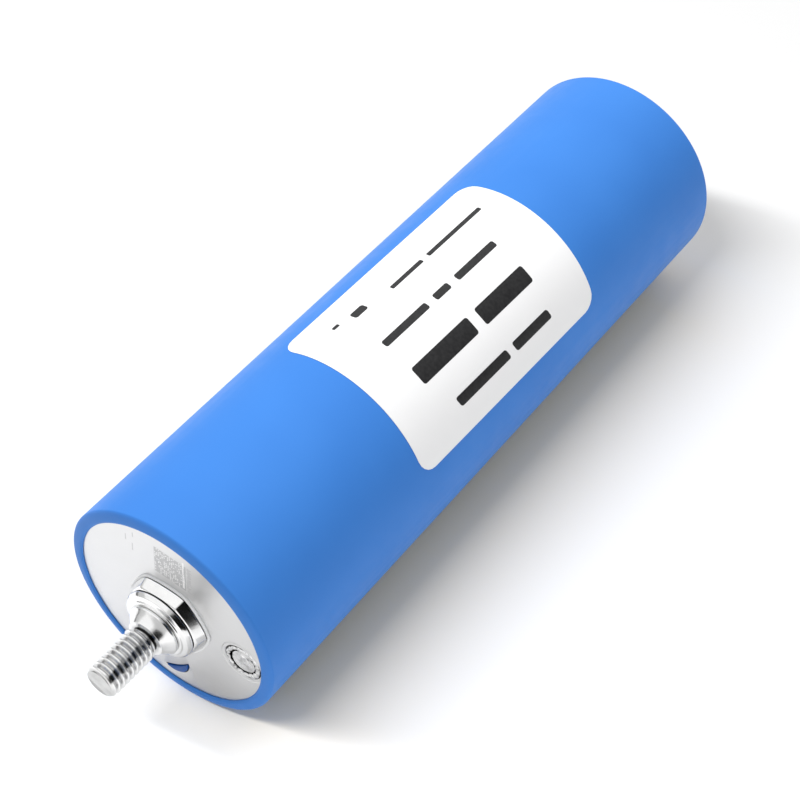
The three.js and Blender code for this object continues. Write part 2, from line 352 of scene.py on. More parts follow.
def plated_metal(name, joint):
    """Polished nickel plate, with polishing clouds and small handling marks. Its foot, just above the
    height joint, is painted black: painted shade in the joint there."""
    m = Nodes(name)
    m.set(Metallic=1.0)
    cloud = m.noise(500, 3)
    unshaded = m.mix(m.range(cloud, 0, 1), (0.82, 0.82, 0.82), (0.90, 0.90, 0.895))
    # Painted shade: black from the height joint up to 0.11 mm above it, fading out by 0.17 mm.
    m.colour(m.mix(m.deeper_than(joint, -0.17 * MM, -0.11 * MM), unshaded, (0.03, 0.03, 0.03)))
    marks = m.noise(2600, 5, 0.7)
    m.rough(m.math("ADD", m.range(cloud, 0.09, 0.17), m.range(marks, 0, 0.08, 0.58, 0.75)))
    m.bump(m.noise(700, 2), 0.4, 0.02 * MM)
    m.bump(marks, 0.45, 0.009 * MM)
    return m.material


def weld_metal():
    """Laser weld: rippled and brighter where it froze, and painted black below the lid's top face, as
    shade at its feet and down the gap inside it.
    """
    m = Nodes("weld_metal")
    m.set(Metallic=1.0)
    spots = m.noise(2200, 4, 0.65)
    bright = m.ramp(spots, [(0.34, 0.34), (0.47, 0.70), (0.66, 0.90)])
    # Painted shade: black from 0.01 mm to 0.09 mm below the lid's top face and lower.
    m.colour(m.mix(m.deeper_than(LID_TOP, 0.01 * MM, 0.09 * MM), bright, (0.02, 0.02, 0.02)))
    m.rough(m.range(spots, 0.42, 0.22))
    m.bump(spots, 0.5, 0.03 * MM)
    return m.material


def hammered_metal():
    """The port's sealing disc: beaten and mottled, with painted shade that turns it black in its punched
    pit and down its side.
    """
    m = Nodes("hammered_metal")
    m.set(Metallic=1.0)
    blows = m.noise(900, 3, 0.6)
    unshaded = m.ramp(blows, [(0.36, 0.52), (0.5, 0.74), (0.66, 0.86)])
    # Painted shade: black from 0.22 mm to 0.36 mm below the lid's top face and lower, in the pit and down
    # the disc's side.
    m.colour(m.mix(m.deeper_than(LID_TOP, 0.22 * MM, 0.36 * MM), unshaded, (0.03, 0.03, 0.03)))
    m.rough(m.range(blows, 0.38, 0.22))
    m.bump(blows, 0.6, 0.05 * MM)
    m.bump(m.noise(4000, 2), 0.3, 0.008 * MM)
    return m.material


def thread_metal():
    """The stud's plate: as bright as the rest on its crests, with painted shade that makes it duller and
    darker down in the thread and black in the undercut.
    """
    m = Nodes("thread_metal")
    m.set(Metallic=1.0)
    # Painted shade: the plate darkens from the crests down to the roots of the thread.
    depth = m.range(m.from_axis(), 0, 1, STUD_ROOT, STUD_RADIUS - 0.12 * MM)
    cloud = m.noise(600, 3)
    crest = m.mix(m.range(cloud, 0, 1), (0.84, 0.84, 0.84), (0.91, 0.91, 0.905))
    root = m.mix(m.range(cloud, 0, 1), (0.48, 0.48, 0.48), (0.64, 0.64, 0.635))
    # Painted shade: the undercut below the thread is painted black.
    painted_undercut_shade = m.math(
        "MULTIPLY",
        m.range(m.from_axis(), 1, 0, STUD_ROOT - 0.12 * MM, STUD_ROOT - 0.02 * MM),
        m.deeper_than(RIM + THREAD_START, -0.3 * MM, -0.1 * MM),
    )
    m.colour(m.mix(painted_undercut_shade, m.mix(depth, root, crest), (0.02, 0.02, 0.02)))
    marks = m.noise(3200, 4, 0.7)
    m.rough(m.math("ADD", m.range(cloud, 0.15, 0.23), m.range(marks, 0, 0.08, 0.58, 0.75)))
    m.bump(marks, 0.5, 0.012 * MM)
    return m.material


def etched_metal():
    """Laser-marked metal: duller and slightly darker than the lid around it."""
    m = Nodes("etched_metal")
    m.set(Metallic=1.0)
    grain = m.noise(4200, 3, 0.7)
    m.colour(m.mix(m.range(grain, 0, 1), (0.52, 0.52, 0.525), (0.70, 0.70, 0.705)))
    m.rough(m.range(grain, 0.5, 0.7))
    m.bump(grain, 0.6, 0.02 * MM)
    return m.material


def burnished_metal():
    """Metal that the laser melted smooth: brighter than the lid around it."""
    m = Nodes("burnished_metal")
    m.set(Metallic=1.0)
    grain = m.noise(3000, 3, 0.6)
    m.colour(m.mix(m.range(grain, 0, 1), (0.90, 0.90, 0.90), (0.98, 0.98, 0.98)))
    m.rough(m.range(grain, 0.4, 0.55))
    m.bump(grain, 0.4, 0.01 * MM)
    return m.material


def marker_plastic():
    """Dark blue moulded plastic."""
    m = Nodes("marker_plastic")
    m.set(Specular_IOR_Level=0.2)
    cloud = m.noise(700, 3)
    m.colour(m.mix(m.range(cloud, 0, 1), (0.008, 0.072, 0.300), (0.012, 0.090, 0.350)))
    m.rough(m.range(cloud, 0.26, 0.38))
    m.bump(m.noise(2500, 2), 0.2, 0.01 * MM)
    return m.material


def coated(name, low, high, rough, scale, depth, metallic=0.0):
    """A plain finish: a grain between two tones and two roughnesses, with a fine relief."""
    m = Nodes(name)
    m.set(Metallic=metallic)
    grain = m.noise(scale, 4, 0.6)
    m.colour(m.mix(m.range(grain, 0, 1), low, high))
    m.rough(m.range(grain, *rough))
    m.bump(grain, 0.4, depth)
    return m.material


# ---------------------------------------------------------------- body

def shrink_sleeve(material):
    """The film's fold at each end is a soft roll, very slightly uneven where it drew in."""
    wall = 0.28 * MM
    mouth = 17.73 * MM
    lip = 0.12 * MM
    low_round = 0.85 * MM
    drop = 0.72 * MM
    pinched = 0.1 * MM
    mouth_drop = 0.26 * MM
    free_edge = 0.5 * MM
    wave_size = 0.22 * MM
    rng = random.Random(4)
    waves = [(n, rng.uniform(0, 2 * math.pi), rng.uniform(0.4, 1.0) / n) for n in (5, 8, 11, 17, 23, 31)]

    def fold_wave(angle, radius, height):
        """Moves the fold's free edge in and out, and not at all on the side of the cell."""
        depth = max(0.0, (BODY_RADIUS - free_edge - radius) / (BODY_RADIUS - mouth))
        wave = sum(size * math.sin(n * angle + phase) for n, phase, size in waves)
        return radius + wave_size * depth * depth * wave, height

    roll_start = mouth + 0.25 * MM
    outside = [
        (mouth, 0.05 * MM),
        (mouth + lip, 0),
        *arc((BODY_RADIUS - low_round, low_round), (low_round, low_round), -90, 0, 12),
        *[(BODY_RADIUS, BODY_LENGTH * share) for share in (0.25, 0.5, 0.75)],
        *arc((roll_start, RIM - drop), (BODY_RADIUS - roll_start, drop), 0, 86, 18),
        (mouth + lip, RIM - mouth_drop * 0.4),
        (mouth, RIM - mouth_drop),
    ]
    inner_round = low_round - wall
    inside = [
        (mouth, RIM - mouth_drop - pinched),
        (mouth + free_edge, RIM - mouth_drop - pinched),
        *arc((mouth, RIM - drop - wall), (BODY_RADIUS - wall - mouth, drop), 60, 0, 8),
        *arc((BODY_RADIUS - low_round, low_round), (inner_round, inner_round), 0, -90, 6),
        (mouth, wall),
    ]
    sleeve = revolve("sleeve_skin", outside + inside, material, sides=256, wobble=fold_wave)
    finish_piece(sleeve, "sleeve", "shrink_sleeve")


label_low, label_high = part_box("label")
LABEL_MIDDLE = height_of((label_low.y + label_high.y) / 2)
LABEL_ANGLE = math.radians(68.35)
LABEL_LENGTH = 50.5 * MM
LABEL_HALF_WIDTH = math.radians(50.35) * BODY_RADIUS
LABEL_SKEW = math.radians(-1.2)
LABEL_BASE = BODY_RADIUS + 0.01 * MM
LABEL_THICKNESS = 0.09 * MM


def on_label(radius, across_label, along_label):
    """A point on the wrapped label, from its place on the flat one: round the sleeve and along it."""
    round_sleeve = across_label * math.cos(LABEL_SKEW) - along_label * math.sin(LABEL_SKEW)
    along_sleeve = across_label * math.sin(LABEL_SKEW) + along_label * math.cos(LABEL_SKEW)
    return at(radius, LABEL_ANGLE + round_sleeve / BODY_RADIUS, LABEL_MIDDLE + along_sleeve)


def wrapped_plate(points, faces, middle, half_width, low, high, corner, base, thickness, slant=0.0):
    """Adds a thin plate with round corners that follows the sleeve. middle and half_width run across
    the label, low and high along it, and slant leans the short ends."""
    corner_steps = 5
    flat_step = 0.7 * MM
    edge = half_width - corner
    turns = [math.pi / 2 * i / corner_steps for i in range(corner_steps + 1)]
    rounded = [(edge + corner * math.cos(turn), corner * (1 - math.sin(turn))) for turn in turns]
    flat_steps = max(2, int(edge * 2 / flat_step))
    flat = [(edge - 2 * edge * i / flat_steps, 0.0) for i in range(1, flat_steps)]
    run = rounded + flat + [(-u, inset) for u, inset in reversed(rounded)]
    bottom = len(points)
    for radius in (base, base + thickness):
        for u, inset in run:
            lean = slant * u
            points.append(on_label(radius, middle + u, low + inset + lean))
            points.append(on_label(radius, middle + u, high - inset + lean))
    top = bottom + 2 * len(run)
    for i in range(0, 2 * (len(run) - 1), 2):
        a, b, c, d = bottom + i, bottom + i + 2, top + i, top + i + 2
        faces += [(a, a + 1, b + 1, b), (c, d, d + 1, c + 1), (a, b, d, c), (a + 1, c + 1, d + 1, b + 1)]
    last = 2 * (len(run) - 1)
    faces.append((bottom, top, top + 1, bottom + 1))
    faces.append((bottom + last, bottom + last + 1, top + last + 1, top + last))


def label_sheet(material):
    """The label: one thin sheet with round corners."""
    corner = 3 * MM
    points, faces = [], []
    wrapped_plate(points, faces, 0, LABEL_HALF_WIDTH, -LABEL_LENGTH / 2, LABEL_LENGTH / 2, corner,
                  LABEL_BASE, LABEL_THICKNESS)
    sheet = make_object("label_sheet", points, faces, material)
    finish_piece(sheet, "label", "label")


# The label's print: plain bars in place of each line of text, in millimetres, as
# (middle across the label, half width, slant, [(low, high) along the label]).
PRINT_ROWS = [
    (-12.0, 0.95, 0.25, [(-13.8, -3.4), (-1.6, 12.6)]),
    (-4.2, 1.7, 0.0, [(-14.6, -1.0), (1.2, 16.2)]),
    (3.3, 0.68, 0.0, [(-14.6, -3.6), (-1.6, 2.4), (4.4, 16.0)]),
    (10.2, 0.45, 0.0, [(-20.0, -5.0), (-3.4, 5.0)]),
    (11.2, 0.8, 0.0, [(10.8, 14.0)]),
    (12.1, 0.35, 0.0, [(16.6, 18.1)]),
]


def label_print(material):
    """Plain bars with round corners, a hair above the label."""
    base = LABEL_BASE + LABEL_THICKNESS - 0.01 * MM
    thickness = 0.022 * MM
    points, faces = [], []
    for middle, half_width, slant, bars in PRINT_ROWS:
        corner = min(0.5, half_width * 0.6)
        for low, high in bars:
            wrapped_plate(points, faces, middle * MM, half_width * MM, low * MM, high * MM,
                          corner * MM, base, thickness, slant)
    bars = make_object("label_print", points, faces, material)
    finish_piece(bars, "label")


def can_shell(material):
    """The can, with its scored ring and a shallow coined dish in its floor."""
    low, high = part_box("can")
    floor = height_of(high.y)
    mouth = height_of(low.y)
    edge = 0.9 * MM
    dish = 7.0 * MM
    dish_depth = 0.06 * MM
    score = 9 * MM
    half = 0.42 * MM
    depth = 0.35 * MM
    inside = floor + 1.5 * MM
    bore = CAN_RADIUS - CAN_WALL
    profile = [
        (2 * HUB, floor + dish_depth),
        (dish - 0.4 * MM, floor + dish_depth),
        (dish, floor),
        (score - half, floor),
        (score - half * 0.35, floor + depth * 0.85),
        (score, floor + depth),
        (score + half * 0.35, floor + depth * 0.85),
        (score + half, floor),
        *arc((CAN_RADIUS - edge, floor + edge), (edge, edge), -90, 0, 8),
        (CAN_RADIUS, mouth - 0.8 * MM),
        (CAN_RADIUS - 0.3 * MM, mouth - 0.35 * MM),
        (bore + 0.1 * MM, mouth),
        (bore, mouth),
        (bore, inside),
        (2 * HUB, inside),
    ]
    shell = revolve("can_shell", profile, material, sides=160, closed=False)
    finish_piece(shell, "can", "can")


# ---------------------------------------------------------------- lid

LID_TOP = RIM - 0.4 * MM
LID_BOTTOM = height_of(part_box("top_lid")[1].y)
port_low, port_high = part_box("fill_port_cap")
PORT = ((port_low.x + port_high.x) / 2 - AXIS_X, (port_low.z + port_high.z) / 2 - AXIS_Z)
PORT_RECESS = 2.75 * MM
PORT_RECESS_DEPTH = 0.8 * MM
PORT_CAP_RADIUS = 2.2 * MM
GROOVE_RADIUS = 3.46 * MM
COIN_RADIUS = 4.05 * MM
MARKER_CENTRE = (-1.4 * MM, -12.4 * MM)
MARKER_RADIUS = 3.4 * MM
MARKER_CHORD = 1.8 * MM
MARKER_TURN = math.radians(-54)
MARKER_GAP = 0.15 * MM


def marker_ring(margin, height, steps=40):
    """The marker's outline at one height: part of a circle cut off by a chord, with rounded corners."""
    radius = MARKER_RADIUS + margin
    half = math.acos((MARKER_CHORD - margin) / radius)
    middle_x, middle_y = MARKER_CENTRE
    ring = []
    for i in range(steps + 1):
        angle = MARKER_TURN - half + 2 * half * i / steps
        ring.append((middle_x + radius * math.cos(angle), middle_y + radius * math.sin(angle)))
    first, last = ring[0], ring[-1]
    chord_steps = 14
    hollow = 0.3 * MM
    for i in range(1, chord_steps):
        t = i / chord_steps
        sag = hollow * math.sin(math.pi * t)
        ring.append((
            last[0] + (first[0] - last[0]) * t + sag * math.cos(MARKER_TURN),
            last[1] + (first[1] - last[1]) * t + sag * math.sin(MARKER_TURN),
        ))
    # The corners are cut twice, which rounds them.
    for _ in range(2):
        ring = [
            (a[0] + (b[0] - a[0]) * t, a[1] + (b[1] - a[1]) * t)
            for a, b in zip(ring, ring[1:] + ring[:1])
            for t in (0.25, 0.75)
        ]
    return [across(x, y, height) for x, y in ring]


def top_lid(material):
    """The lid, cut for the filling port and for the marker, with softly broken edges."""
    gap = 0.1 * MM
    broken = 0.1 * MM
    radius = CAN_RADIUS - CAN_WALL - gap
    lid = revolve("lid_disc", [
        (2 * HUB, LID_BOTTOM),
        (radius, LID_BOTTOM),
        (radius, LID_TOP - broken),
        (radius - broken, LID_TOP),
        (2 * HUB, LID_TOP),
    ], material, closed=False)
    coin_half = 0.12 * MM
    coin_flare = 0.02 * MM
    coined = revolve("coined", [
        (COIN_RADIUS - coin_half - coin_flare, LID_TOP + 0.3 * MM),
        (COIN_RADIUS - coin_half, LID_TOP - 0.01 * MM),
        (COIN_RADIUS, LID_TOP - 0.085 * MM),
        (COIN_RADIUS + coin_half, LID_TOP - 0.01 * MM),
        (COIN_RADIUS + coin_half + coin_flare, LID_TOP + 0.3 * MM),
    ], material, sides=128, centre=PORT)
    above = RIM + 2 * MM
    just_above = LID_TOP + 0.001 * MM
    groove = GROOVE_RADIUS + 0.06 * MM
    recess = revolve("recess", [
        (HUB, LID_TOP - PORT_RECESS_DEPTH),
        (PORT_RECESS, LID_TOP - PORT_RECESS_DEPTH),
        (PORT_RECESS, LID_TOP - 0.3 * MM),
        (GROOVE_RADIUS - 0.1 * MM, LID_TOP - 0.18 * MM),
        (groove, just_above),
        (groove, above),
        (HUB, above),
    ], material, closed=False, sides=96, centre=PORT)
    chamfered = MARKER_GAP + 0.26 * MM
    pocket = loft("pocket", [
        marker_ring(MARKER_GAP, LID_TOP - 0.55 * MM),
        marker_ring(MARKER_GAP, LID_TOP - 0.12 * MM),
        marker_ring(chamfered, just_above),
        marker_ring(chamfered, above),
    ], material, closed=False)
    below = LID_BOTTOM - 1 * MM
    hole = 4.2 * MM
    rivet_hole = revolve("rivet_hole", [
        (HUB, below),
        (hole, below),
        (hole, above),
        (HUB, above),
    ], material, closed=False, sides=64)
    cut(lid, [recess, pocket, rivet_hole, coined])
    lid.data.shade_smooth()
    lid.data.set_sharp_from_angle(angle=math.radians(30))
    finish_piece(lid, "lid", "top_lid")


def near_angle(angle, middle, width):
    """1 at an angle in degrees round a circle, fading to 0 about width degrees away from it."""
    away = (math.degrees(angle) - middle + 180) % 360 - 180
    return math.exp(-(away / width) ** 2)


def port_weld(material):
    """The bead that seals the filling port: overlapping laser spots, with an uneven gap left inside.
    Its gap, edges and rise are worked out in millimetres."""
    spots = 16
    rng = random.Random(11)
    size = [rng.uniform(0.5, 1.3) for _ in range(spots)]
    drift = [rng.uniform(-1, 1) for _ in range(spots)]
    sides = 288
    sunk = 0.12 * MM
    foot = LID_TOP - 0.75 * MM
    # Where the gap inside the bead is wider or narrower: (middle and width in degrees, change)
    uneven = [(195, 42, 0.20), (36, 20, 0.34), (125, 22, 0.14), (80, 24, -0.12)]
    rings = []
    for i in range(sides):
        angle = 2 * math.pi * i / sides
        spot, through_spot = divmod(spots * i / sides, 1)
        spot = int(spot)
        swell = math.sin(math.pi * through_spot) ** 0.8
        gap = 0.30 + sum(change * near_angle(angle, *stretch) for *stretch, change in uneven)
        blob = 0.24 * size[spot] * swell + 0.09 * drift[spot]
        inner = PORT_CAP_RADIUS + max(0.05, gap - blob) * MM
        outer = (3.18 + 0.16 * size[spot] * swell + 0.3 * near_angle(angle, 52, 34)) * MM
        rise = (0.04 + 0.06 * swell * size[spot] + 0.14 * near_angle(angle, 255, 36)) * MM
        middle = (inner + outer) / 2
        half_width = (outer - inner) / 2
        section = [(middle + half_width * u, LID_TOP - sunk + (rise + sunk) * v)
                   for u, v in arc((0, 0), (1, 1), -10, 190, 12)]
        section += [
            (inner + 0.05 * MM, LID_TOP - 0.55 * MM),
            (PORT_CAP_RADIUS, LID_TOP - 0.60 * MM),
            (PORT_CAP_RADIUS, foot),
            (PORT_RECESS - 0.02 * MM, foot),
        ]
        rings.append([at(radius, angle, height, PORT) for radius, height in section])
    bead = loft("port_weld", rings, material, smooth_angle=60)
    finish_piece(bead, "lid")


def port_cap(material):
    """The sealing disc in the port: hammered, with a punched pit and a raised dimple off its middle."""
    low = LID_TOP - PORT_RECESS_DEPTH + 0.05 * MM
    top = LID_TOP - 0.07 * MM
    edge = 0.16 * MM
    flat = PORT_CAP_RADIUS - edge
    pit = (0.85 * MM, 1.1 * MM)
    pit_size = 0.2 * MM
    dimple = (0.05 * MM, 1.25 * MM)
    dimple_size = 0.36 * MM

    def beaten(angle, r, height):
        """Leaves the disc's foot as it is and shapes its top. The depths are in millimetres."""
        if height <= low:
            return r, height
        x, y = r * math.cos(angle), r * math.sin(angle)
        from_pit = math.hypot(x - pit[0], y - pit[1]) / pit_size
        from_dimple = math.hypot(x - dimple[0], y - dimple[1]) / dimple_size
        share = r / PORT_CAP_RADIUS
        dish = -0.05 * (1 - share ** 6)
        uneven = (0.02 * math.sin(2 * angle + 0.6) + 0.015 * math.sin(3 * angle + 2.1)) * share
        pitted = -0.42 * math.exp(-from_pit ** 2)
        raised = 0.14 * math.exp(-from_dimple ** 2)
        return r, height + (dish + uneven + pitted + raised) * MM

    steps = 22
    cap = revolve("port_cap", [
        (HUB, low),
        (PORT_CAP_RADIUS, low),
        (PORT_CAP_RADIUS, top - edge),
        *arc((flat, top - edge), (edge, edge), 0, 90, 5),
        *[(flat * (1 - i / steps), top) for i in range(1, steps)],
        (HUB, top),
    ], material, closed=False, sides=120, wobble=beaten, centre=PORT)
    finish_piece(cap, "lid", "fill_port_cap")


CODE_CENTRE = (1.3 * MM, 11.95 * MM)
CODE_SIDE = 6.1 * MM
CODE_TURN = math.radians(-5)


def add_patch(points, faces, left, bottom, width, height, thickness):
    """Adds a thin rectangular plate on the lid, placed from the middle of the code and turned with it."""
    start = len(points)
    for level in (LID_TOP - 0.02 * MM, LID_TOP + thickness):
        for a, b in ((0, 0), (1, 0), (1, 1), (0, 1)):
            u, v = left + width * a, bottom + height * b
            x = CODE_CENTRE[0] + u * math.cos(CODE_TURN) - v * math.sin(CODE_TURN)
            y = CODE_CENTRE[1] + u * math.sin(CODE_TURN) + v * math.cos(CODE_TURN)
            points.append(across(x, y, level))
    faces.append((start, start + 1, start + 2, start + 3))
    faces.append((start + 4, start + 5, start + 6, start + 7))
    for i in range(4):
        j = (i + 1) % 4
        faces.append((start + i, start + j, start + 4 + j, start + 4 + i))


def lid_marking(material):
    """Laser marks on the lid: an etched square, a fainter strip beside it and three ticks."""
    points, faces = [], []
    thickness = 0.004 * MM
    half = CODE_SIDE / 2
    add_patch(points, faces, -half, -half, CODE_SIDE, CODE_SIDE, thickness)
    tick_width = 0.19 * MM
    # Each tick's lower left corner, from the middle of the square, and its length, in millimetres
    for u, v, length in ((-8.75, -0.1, 1.5), (-7.3, 1.75, 1.1), (-7.45, -1.7, 1.8)):
        add_patch(points, faces, u * MM, v * MM, tick_width, length * MM, thickness)
    rng = random.Random(8)
    rows = 30
    step = CODE_SIDE / rows
    for row in range(rows):
        left = half + rng.uniform(0.15, 0.35) * MM
        reach = rng.uniform(0.3, 0.9) * MM
        add_patch(points, faces, left, row * step - half, reach, step * 0.55, thickness)
    marks = make_object("lid_marking", points, faces, material)
    finish_piece(marks, "lid")


def code_cells(material):
    """The bright cells of the etched square, at random, so that it says nothing, and a bright bar."""
    cells = 17
    filled = 0.55
    pitch = CODE_SIDE / cells
    side = pitch * 0.56
    thickness = 0.014 * MM
    half = CODE_SIDE / 2
    rng = random.Random(27)
    points, faces = [], []
    bar_column = cells - 2
    for row in range(cells):
        for column in range(bar_column):
            u = (column + rng.uniform(0.1, 0.34)) * pitch - half
            v = (row + rng.uniform(0.1, 0.34)) * pitch - half
            if rng.random() < filled:
                add_patch(points, faces, u, v, side, side, thickness)
    row = 1
    while row < cells - 1:
        run = rng.choice((1, 2, 4))
        width = pitch * rng.uniform(0.6, 1.3)
        u = (bar_column + rng.uniform(0.0, 0.3)) * pitch - half
        add_patch(points, faces, u, row * pitch - half, width, pitch * (run - 0.25), thickness)
        row += run
    bright_cells = make_object("code_cells", points, faces, material)
    finish_piece(bright_cells, "lid")


def polarity_marker(material):
    """The blue insert, with a rounded upper edge."""
    top = LID_TOP + 0.16 * MM
    soft = 0.2 * MM
    marker = loft("marker_insert", [
        marker_ring(0, LID_TOP - 0.5 * MM),
        marker_ring(0, top - soft),
        marker_ring(-0.3 * soft, top - 0.3 * soft),
        marker_ring(-soft, top),
    ], material, closed=False)
    finish_piece(marker, "marker", "polarity_marker")


# ---------------------------------------------------------------- terminal

block_low, block_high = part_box("terminal_block")
BLOCK_BOTTOM = height_of(block_high.y)
BLOCK_TOP = height_of(block_low.y)
washer_low, washer_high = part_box("terminal_washer")
WASHER_BOTTOM = height_of(washer_high.y)
WASHER_TOP = height_of(washer_low.y)
STUD_TIP = height_of(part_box("terminal_stud")[0].y)
STUD_RADIUS = 2.97 * MM
BORE = 3.1 * MM
PITCH = 1.0 * MM


def hexagon_radius(apothem, corner, angle):
    """The distance from the axis to a hexagon whose corners blend into a circle."""
    sixth = math.pi / 3
    flat = apothem / math.cos(angle % sixth - sixth / 2)
    sharpness = 15
    return (flat ** -sharpness + corner ** -sharpness) ** (-1 / sharpness)


def hexagon_piece(name, apothem, corner, bore, levels, material):
    """A bored hexagonal piece. levels are (inset from the outline, height) up its outside."""
    sides = 288
    angles = [2 * math.pi * i / sides for i in range(sides)]
    rings = [[at(bore, angle, levels[0][1]) for angle in angles]]
    for inset, height in levels:
        rings.append([at(hexagon_radius(apothem - inset, corner - inset, angle), angle, height)
                      for angle in angles])
    rings.append([at(bore, angle, levels[-1][1]) for angle in angles])
    return loft(name, rings, material, smooth_angle=50)


BLOCK_APOTHEM = 7.3 * MM
BLOCK_CORNER = 7.75 * MM
INSULATOR_BORDER = 0.3 * MM


def terminal_block(material):
    """A hexagon with well rounded corners, drafted sides and a soft upper edge, bored for the stud."""
    draft = 21
    soft = 0.62 * MM
    foot = 0.08 * MM
    edge_start = BLOCK_TOP - soft + soft * math.sin(math.radians(draft))
    drawn_in = (edge_start - BLOCK_BOTTOM) * math.tan(math.radians(draft))
    middle = drawn_in + soft * math.cos(math.radians(draft))
    levels = [(foot, BLOCK_BOTTOM), (foot * 0.4, BLOCK_BOTTOM + foot)]
    levels += [(drawn_in * t, BLOCK_BOTTOM + (edge_start - BLOCK_BOTTOM) * t) for t in (0.15, 0.4, 0.7)]
    levels += [(middle - u, v) for u, v in arc((0, BLOCK_TOP - soft), (soft, soft), draft, 90, 10)]
    block = hexagon_piece("block_hex", BLOCK_APOTHEM, BLOCK_CORNER, BORE, levels, material)
    finish_piece(block, "terminal", "terminal_block")


def terminal_insulator(material):
    """The gasket under the block, whose rounded border shows all round it."""
    clear = 0.02 * MM
    low = LID_TOP + clear
    high = BLOCK_BOTTOM - clear
    soft = 0.14 * MM
    levels = [(0, low)] + [(soft - u, v) for u, v in arc((0, high - soft), (soft, soft), 0, 90, 5)]
    gasket = hexagon_piece("gasket_hex", BLOCK_APOTHEM + INSULATOR_BORDER, BLOCK_CORNER + INSULATOR_BORDER,
                           BORE + 0.25 * MM, levels, material)
    finish_piece(gasket, "insulator", "terminal_insulator")


def terminal_washer(material):
    """A thick washer with a rounded shoulder, a fine step and a flat seat."""
    outer = 6.5 * MM
    foot = 0.16 * MM
    shoulder = 0.28 * MM
    seat = 0.22 * MM
    profile = [
        (BORE, WASHER_BOTTOM),
        (outer - foot, WASHER_BOTTOM),
        *arc((outer - foot, WASHER_BOTTOM + foot), (foot, foot), -80, 10, 4),
        (outer - foot, WASHER_TOP - 0.78 * MM),
        *arc((5.92 * MM, WASHER_TOP - 0.70 * MM), (shoulder, shoulder), 25, 62, 5),
        (5.60 * MM, WASHER_TOP - 0.31 * MM),
        (5.38 * MM, WASHER_TOP - 0.27 * MM),
        *arc((5.1 * MM, WASHER_TOP - seat), (seat, seat), 0, 90, 4),
        (BORE, WASHER_TOP),
    ]
    washer = revolve("washer_ring", profile, material, sides=160, smooth_angle=50)
    finish_piece(washer, "terminal", "terminal_washer")


THREAD_DEPTH = 0.60 * MM
THREAD_START = 5.9 * MM
STUD_ROOT = STUD_RADIUS - THREAD_DEPTH


def thread_radius(angle, height, start, tip_radius, chamfer):
    """The right-hand M6 thread, with rounded crests and roots, from its runout to its chamfered tip."""
    crest_width = 0.1
    root_width = 0.1
    straightness = 0.45
    wear = 0.05 * MM
    turn = (height / PITCH + angle / (2 * math.pi)) % 1.0
    from_crest = abs(turn - 0.5) * 2
    straight = min(1.0, max(0.0, (from_crest - crest_width) / (1 - crest_width - root_width)))
    rounded = 0.5 - 0.5 * math.cos(math.pi * straight)
    slope = straightness * straight + (1 - straightness) * rounded
    worn = 0.5 + 0.5 * math.sin(5 * angle + 3.1 * height / MM) * math.sin(11 * angle - 1.7 * height / MM)
    radius = STUD_RADIUS - THREAD_DEPTH * slope - wear * worn
    runout = STUD_ROOT + max(0.0, (height - start) / (0.7 * PITCH)) * THREAD_DEPTH
    cone = tip_radius + (STUD_TIP - height) * (STUD_RADIUS - tip_radius) / chamfer
    return min(radius, runout, cone)


def terminal_stud(material):
    """The stud: a tapered shoulder, an undercut, the thread and a chamfered tip."""
    shoulder_bottom = WASHER_TOP + 0.05 * MM
    shoulder_top = RIM + 5.5 * MM
    thread_start = RIM + THREAD_START
    tip_radius = 2.42 * MM
    chamfer = 0.7 * MM
    sides = 96
    steps_per_pitch = 24
    shank_end = BLOCK_BOTTOM + 0.9 * MM
    shoulder = 4.72 * MM
    neck = 3.34 * MM
    undercut = 2.2 * MM
    bevel = 0.12 * MM
    edge = 0.3 * MM
    soft = 0.14 * MM
    hollow = 0.10 * MM
    profile = [
        (HUB, shank_end),
        (STUD_RADIUS, shank_end),
        (STUD_RADIUS, shoulder_bottom),
        (shoulder - bevel, shoulder_bottom),
        (shoulder, shoulder_bottom + bevel),
        *arc((shoulder - edge, shoulder_bottom + edge), (edge, edge), 0, 50, 5),
    ]
    foot_radius, foot_height = profile[-1]
    taper_height = shoulder_top - soft - foot_height
    steps = 12
    for i in range(1, steps + 1):
        t = i / steps
        drawn_in = (foot_radius - neck) * t + hollow * math.sin(math.pi * t)
        profile.append((foot_radius - drawn_in, foot_height + taper_height * t))
    profile += [
        *arc((neck - soft, shoulder_top - soft), (soft, soft), 20, 90, 4),
        (undercut + 0.04 * MM, shoulder_top),
        (undercut, shoulder_top + 0.06 * MM),
        (undercut, thread_start - 0.1 * MM),
    ]
    angles = [2 * math.pi * i / sides for i in range(sides)]
    rings = [[at(radius, angle, height) for angle in angles] for radius, height in profile]
    count = int((STUD_TIP - thread_start) / PITCH * steps_per_pitch)
    for k in range(count):
        height = thread_start + (STUD_TIP - thread_start) * k / count
        rings.append([at(thread_radius(angle, height, thread_start, tip_radius, chamfer), angle, height)
                      for angle in angles])
    for radius, height in (
        (tip_radius - 0.02 * MM, STUD_TIP - 0.05 * MM),
        (tip_radius - 0.1 * MM, STUD_TIP),
        (HUB, STUD_TIP),
    ):
        rings.append([at(radius, angle, height) for angle in angles])
    stud = loft("stud_m6", rings, material, closed=False, smooth_angle=60)
    finish_piece(stud, "terminal", "terminal_stud")


# ---------------------------------------------------------------- stage

